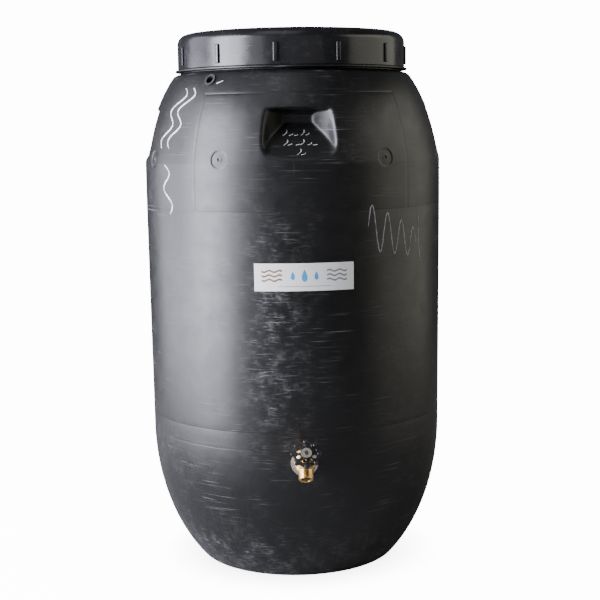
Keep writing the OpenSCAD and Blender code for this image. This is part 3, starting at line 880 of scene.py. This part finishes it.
def drop_shape(azimuth, z, size):
    """A printed rain drop: a circle drawn up to a point."""
    steps, rings = 40, 6
    verts, faces = [label_point(azimuth, z)], []
    for ring in range(1, rings + 1):
        for i in range(steps):
            t = TURN * i / steps
            x = 0.0062 * size * math.sin(t) * (0.5 - 0.5 * math.cos(t)) ** 0.6
            up = 0.0098 * size * math.cos(t)
            across = math.degrees(x * ring / rings / BARREL_R)
            verts.append(label_point(azimuth + across, z + up * ring / rings))
    faces += [(0, 1 + i, 1 + (i + 1) % steps) for i in range(steps)]
    for ring in range(rings - 1):
        a, b = 1 + ring * steps, 1 + (ring + 1) * steps
        faces += [(a + i, b + i, b + (i + 1) % steps, a + (i + 1) % steps) for i in range(steps)]
    return verts, faces


# ---------------------------------------------------------------- lid and screen

def lid_outline():
    """Closed outline of the lid's plate and skirt."""
    outer = [(LID_R - 0.001, LID_BOTTOM), (LID_R, LID_BOTTOM + 0.001)]
    outer += arc((LID_R - LID_CORNER, LID_TOP - LID_CORNER), (LID_CORNER, LID_CORNER), 0, 90, 20)
    rim = [(PANEL_R + 0.0100, LID_TOP), (PANEL_R + 0.0060, LID_TOP - 0.0008),
           (PANEL_R + 0.0035, LID_TOP - 0.0030), (PANEL_R + 0.0017, PANEL_TOP + 0.0012), (PANEL_R, PANEL_TOP)]
    groove = [(PANEL_GROOVE_R + 0.0038, PANEL_TOP), (PANEL_GROOVE_R + 0.0030, PANEL_TOP - 0.0006),
              (PANEL_GROOVE_R + 0.0008, PANEL_TOP - 0.0006), (PANEL_GROOVE_R, PANEL_TOP)]
    inlet = [(INLET_R + 0.0005, PANEL_TOP), (INLET_R, PANEL_TOP - 0.0005), (INLET_R, LID_UNDER)]
    wall = LID_R - LID_WALL
    inside = [(0.120, LID_UNDER), (wall - 0.004, LID_UNDER), (wall, LID_UNDER - 0.004),
              (wall, LID_BOTTOM + 0.001), (wall + 0.001, LID_BOTTOM)]
    return outer + rim + groove + inlet + inside


def grip(index):
    """A raised vertical rib with rounded edges on the skirt."""
    turn = Matrix.Rotation(math.radians(-10 + 360 / GRIPS * index), 4, "Z")
    return rounded_bar(GRIP_SIZE, GRIP_EDGE, turn @ Matrix.Translation((0, -LID_R - 0.0005, GRIP_Z)))


def under_rib(index):
    """A stiffening rib under the lid, from near the inlet into the plug ring."""
    turn = Matrix.Rotation(math.radians(22.5 + 360 / RIBS * index), 4, "Z")
    length = PLUG_R - INLET_R - 0.0175
    spot = Matrix.Translation((INLET_R + 0.016 + length / 2, 0, LID_UNDER - 0.003))
    return rounded_bar((length, RIB_W, RIB_H), 0.0006, turn @ spot)


def build_lid(gloss):
    """The lid's plate and skirt with its plug ring, thread, grips and ribs."""
    plug = rounded([(PLUG_R - 0.0030, LID_UNDER + 0.001), (PLUG_R, LID_UNDER + 0.001),
                    (PLUG_R - 0.0002, LID_UNDER - PLUG_DEPTH), (PLUG_R - 0.0024, LID_UNDER - PLUG_DEPTH)],
                   0.001, 3)
    thread = ridge(LID_R - LID_WALL + 0.001, LID_THREAD_R, THREAD_ROOT_W, THREAD_TIP_W, THREAD_LEAD,
                   THREAD_TURNS, LID_THREAD_Z)
    half_turn = Matrix.Rotation(math.pi, 4, "Z")
    shape = joined(lathe(lid_outline(), 256), lathe(plug, 192), moved(thread, half_turn),
                   *[grip(i) for i in range(GRIPS)], *[under_rib(i) for i in range(RIBS)])
    place(make_object("lid_cap", *shape, sharp_angle=35), "lid", "gloss_black_lid", gloss, "lid")


def woven_wires(radius, pitch, wire, z):
    """Two sets of wires that pass over and under each other inside a circle."""
    shapes = []
    count = int(radius / pitch)
    for across in (False, True):
        for i in range(-count, count + 1):
            offset = i * pitch
            half = math.sqrt(max(radius ** 2 - offset ** 2, 0))
            steps = max(2, int(2 * half / (pitch / 3)))
            line_points = []
            for k in range(steps + 1):
                t = -half + 2 * half * k / steps
                lift = wire * 0.55 * math.cos(math.pi * t / pitch) * (-1) ** i * (-1 if across else 1)
                line_points.append(Vector((offset, t, z + lift) if across else (t, offset, z + lift)))
            shapes.append(tube(line_points, wire / 2, 5))
    return joined(*shapes)


def tube(points, radius, sides):
    """A tube of a few sides along points that run nearly straight."""
    ahead = (points[-1] - points[0]).normalized()
    side = ahead.cross(Vector((0, 0, 1))).normalized()
    up = side.cross(ahead)
    verts = []
    for p in points:
        verts += [p + (side * math.cos(TURN * k / sides) + up * math.sin(TURN * k / sides)) * radius
                  for k in range(sides)]
    return verts, ring_faces(len(points), sides)


def build_screen(wire_material, gloss):
    """The insect mesh with its rim, and the ring that clamps it."""
    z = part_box("inlet_screen")[0].z
    wires = woven_wires(MESH_R, MESH_PITCH, WIRE, z + 0.0004)
    rim = lathe(rounded([(RIM_INNER_R, z + 0.0001), (SCREEN_R, z + 0.0001), (SCREEN_R, z + 0.0008),
                         (RIM_INNER_R, z + 0.0008)], 0.0002, 2), 128)
    place(make_object("screen_mesh", *joined(wires, rim)), "lid", "steel_mesh", wire_material, "inlet_screen")
    low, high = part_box("screen_ring")[0].z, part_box("screen_ring")[1].z
    ring = lathe(rounded([(CLAMP_INNER_R, low), (SCREEN_R, low), (SCREEN_R, high),
                          (CLAMP_INNER_R, high)], 0.0010, 4), 160)
    place(make_object("screen_clamp", *ring), "lid", "gloss_black_lid", gloss, "screen_ring")


# ---------------------------------------------------------------- spigot

def hose_nose():
    """The outlet's hose thread and rounded mouth, along +Z from the thread's inner end."""
    root = HOSE_R - 0.0012
    outline = rounded([(HOSE_BORE_R, -0.002), (root, -0.002), (root, HOSE_LEN - 0.0004),
                       (root - 0.0004, HOSE_LEN), (HOSE_BORE_R + 0.0006, HOSE_LEN),
                       (HOSE_BORE_R + 0.0004, HOSE_LEN - 0.009)], 0.0007, 4)
    thread = ridge(root - 0.0002, HOSE_R - 0.00005, 0.0019, 0.0005, HOSE_PITCH, 4.6, 0.0011, 6)
    return joined(lathe(outline, 96), thread)


def build_spigot(cast, turned):
    """The casting, its hose thread, the bonnet, the gland nut and the brass nodes that stay."""
    body = softened("spigot_body", "spigot_casting", 0.0006, 9)
    trimmed_nose(body)
    place(body, "barrel", "brass", cast, "spigot_body")
    nose_shape = moved(hose_nose(), axis_matrix(HOSE_START, HOSE_AXIS))
    nose = make_object("spigot_hose_thread", *nose_shape, sharp_angle=50)
    place(nose, "barrel", "brass", turned)
    for node, name in (("spigot_bonnet", "bonnet_casting"), ("packing_nut", "gland_nut")):
        place(softened(node, name, 0.0003, 3, 45), "barrel", "brass", turned, node)
    for node in ("lock_nut", "spigot_stem", "seat_washer_screw"):
        assign(node, turned)


def trimmed_nose(obj):
    """Draws the casting's nose in below the thread's root, so that only the threaded nose shows there."""
    for v in obj.data.vertices:
        offset = v.co - HOSE_START
        along = offset.dot(HOSE_AXIS)
        across = offset - HOSE_AXIS * along
        if along > -0.0008 and across.length > NOSE_R:
            v.co = HOSE_START + HOSE_AXIS * min(along, HOSE_LEN - 0.002) + across.normalized() * NOSE_R


def build_handwheel(black, worn, dull):
    """The handwheel, slightly dished so that its rim lies behind the hub, with its plate and screw."""
    wheel = softened("handwheel", "handwheel_casting", 0.0004, 5)
    for v in wheel.data.vertices:
        offset = v.co - VALVE
        across = (offset - STEM_AXIS * offset.dot(STEM_AXIS)).length
        v.co -= STEM_AXIS * 0.0012 * float(smoothstep(across, 0.010, 0.024))
    place(wheel, "valve_handle", "black_enamel", black, "handwheel")
    assign("handwheel_plate", worn)
    # The screw's dark steel is painted shade at the hub's centre.
    assign("handwheel_screw", dull)


def assign(node, material):
    """Puts the material on every slot of a CAD node that stays."""
    mesh = NODES[node].data
    if not mesh.materials:
        mesh.materials.append(material)
    for i in range(len(mesh.materials)):
        mesh.materials[i] = material


# ---------------------------------------------------------------- stage, lights and camera

def build_stage():
    """A pale floor with a soft shadow painted round the barrel's foot, and one even pale surround."""
    s = Shader("studio_floor", Roughness=0.95, Specular_IOR_Level=0.0)
    s.color(s.mix(s.noise(s.place, 3.0, 2.0), (0.22, 0.22, 0.22), (0.25, 0.25, 0.25)))
    x, y, _ = s.split(s.place)
    out = s.math("SQRT", s.math("ADD", s.times(x, x), s.times(y, y)))
    # Painted shadow: the floor's emission to the camera drops to about a third within this radius of the barrel's
    # axis.
    glow_with_painted_shadow = s.remap(out, FLOOR_PAINTED_SHADOW_R, FLOOR_PAINTED_SHADOW_R + 0.16, 0.35, 1.0)
    path = s.tree.nodes.new("ShaderNodeLightPath")
    s.put(s.main.inputs["Emission Color"], (1.0, 1.0, 1.0, 1.0))
    s.put(s.main.inputs["Emission Strength"],
          s.times(s.times(glow_with_painted_shadow, path.outputs["Is Camera Ray"]), WHITE))
    corners = [(x * FLOOR_HALF, y * FLOOR_HALF, -0.0005) for x, y in ((-1, -1), (1, -1), (1, 1), (-1, 1))]
    floor = make_object("floor", corners, [(0, 1, 2, 3)])
    floor.data.materials.append(s.material)
    world = bpy.data.worlds.new("studio")
    world.use_nodes = True
    bpy.context.scene.world = world
    nodes, links = world.node_tree.nodes, world.node_tree.links
    seen, lit = nodes["Background"], nodes.new("ShaderNodeBackground")
    seen.inputs["Color"].default_value = (1, 1, 1, 1)
    seen.inputs["Strength"].default_value = WHITE
    lit.inputs["Color"].default_value = (0.80, 0.84, 1.0, 1)
    lit.inputs["Strength"].default_value = 0.10
    mix, path = nodes.new("ShaderNodeMixShader"), nodes.new("ShaderNodeLightPath")
    links.new(path.outputs["Is Camera Ray"], mix.inputs[0])
    links.new(lit.outputs[0], mix.inputs[1])
    links.new(seen.outputs[0], mix.inputs[2])
    links.new(mix.outputs[0], nodes["World Output"].inputs["Surface"])


def area_light(name, azimuth, distance, height, size, power, tone, aim=0.55):
    """A soft panel at a direction from the front, in degrees towards +X, that faces the barrel."""
    data = bpy.data.lights.new(name, "AREA")
    data.shape = "RECTANGLE"
    data.size, data.size_y = size
    data.energy = power
    data.color = tone
    light = bpy.data.objects.new(name, data)
    a = math.radians(azimuth)
    light.location = (distance * math.sin(a), -distance * math.cos(a), height)
    light.rotation_euler = (Vector((0, 0, aim)) - light.location).to_track_quat("-Z", "Y").to_euler()
    bpy.context.scene.collection.objects.link(light)


def build_lights():
    """Cool windows from the left, and weaker light from the room on the right, the front and above."""
    area_light("window_near", -65, 2.2, 1.05, (1.3, 2.1), 180, (0.88, 0.89, 1.0))
    area_light("window_wide", -92, 2.0, 0.48, (2.2, 1.2), 58, (0.88, 0.88, 1.0), 0.48)
    area_light("window_high", -92, 2.0, 1.60, (2.2, 1.0), 26, (0.88, 0.88, 1.0), 0.9)
    area_light("window_low", -74, 1.7, 0.20, (1.6, 0.4), 12, (0.88, 0.88, 1.0), 0.12)
    area_light("window_front", -38, 2.6, 1.1, (0.9, 2.0), 12, (0.90, 0.92, 1.0))
    area_light("room", 88, 2.2, 1.0, (2.7, 2.0), 22, (1.0, 0.96, 0.82))
    area_light("room_high", 72, 2.0, 1.70, (2.0, 0.6), 3, (1.0, 0.97, 0.88), 0.95)
    area_light("front_fill", 12, 4.2, 1.6, (2.5, 1.5), 3, (1.0, 0.98, 0.95))
    area_light("top", -20, 1.6, 3.2, (1.6, 1.6), 8, (0.95, 0.97, 1.0), 1.0)


def build_camera():
    """Eye height 0.85 m, 2.6 m away, a little to the left of the spigot, looking slightly down."""
    heading, pitch, roll = math.radians(2.93), math.radians(7.56), math.radians(-0.82)
    distance, eye, aside = 2.5865, 0.854, 0.0109
    ahead = Vector((math.sin(heading), math.cos(heading), 0))
    right = Vector((math.cos(heading), -math.sin(heading), 0))
    data = bpy.data.cameras.new("camera")
    data.lens = 77.7
    data.sensor_width = 36
    camera = bpy.data.objects.new("camera", data)
    camera.location = Vector((0, 0, eye)) - ahead * distance + right * aside
    facing = Euler((math.pi / 2 - pitch, 0, -heading)).to_matrix() @ Matrix.Rotation(roll, 3, "Z")
    camera.rotation_euler = facing.to_euler()
    bpy.context.scene.collection.objects.link(camera)
    bpy.context.scene.camera = camera


def main():
    """Builds every piece, then the stage, the lights and the camera."""
    plastic, gloss = body_plastic(), lid_plastic()
    cast, turned = brass("cast_brass", True), brass("turned_brass", False)
    # The handwheel screw's steel is dark and yellowish: the yellow is a tint towards brass, the darkness is
    # painted shade at the hub's centre.
    bright, dull = steel("zinc_plated_steel", (0.93, 0.93, 0.92)), steel("dark_steel_with_painted_shade", (0.20, 0.18, 0.14))
    worn = steel("worn_steel", (0.56, 0.53, 0.46))
    black = enamel()
    black_rubber = rubber("black_rubber", (0.014, 0.014, 0.014))
    build_body(plastic)
    build_marks()
    build_label()
    build_lid(gloss)
    build_screen(mesh_wire(), gloss)
    build_spigot(cast, turned)
    build_handwheel(black, worn, dull)
    for node in ("overflow_grommet", "outer_seal", "inner_seal", "seat_washer"):
        assign(node, black_rubber)
    assign("lid_gasket", rubber("grey_rubber", (0.05, 0.05, 0.05)))
    assign("stem_packing", fibre())
    for node in ("outer_washer", "inner_washer", "screen_screws"):
        assign(node, bright)
    build_stage()
    build_lights()
    build_camera()


main()
